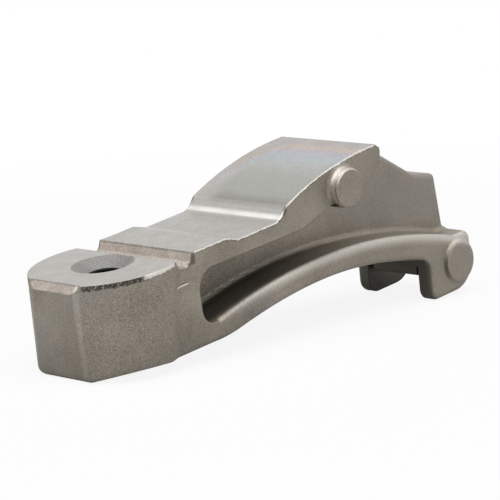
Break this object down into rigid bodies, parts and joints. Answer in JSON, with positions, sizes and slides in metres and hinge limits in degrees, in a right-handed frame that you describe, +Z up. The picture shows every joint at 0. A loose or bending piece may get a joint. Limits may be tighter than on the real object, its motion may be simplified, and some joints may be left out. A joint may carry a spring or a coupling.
{
  "type": "rocker arm",
  "caption": "Cast finger-follower rocker arm: round nose with oil hole, convex cam pad, arched I-section and a forked valve end.",
  "frame": {"origin": "centre of the footprint of the bounding box, on the floor plane on which the arm lies", "axes": "+X runs from the nose to the valve fork, +Y across the arm, +Z up; the arm lies as it does on a table, on its nose edge and the two fork ears"},
  "size_m": [0.0952, 0.0254, 0.031],
  "materials": {
    "cast_steel": "shot-blasted casting, pads and nose face ground bright"
  },
  "bodies": {
    "root": {"rocker_arm": "cast_steel"}
  },
  "joints": []
}
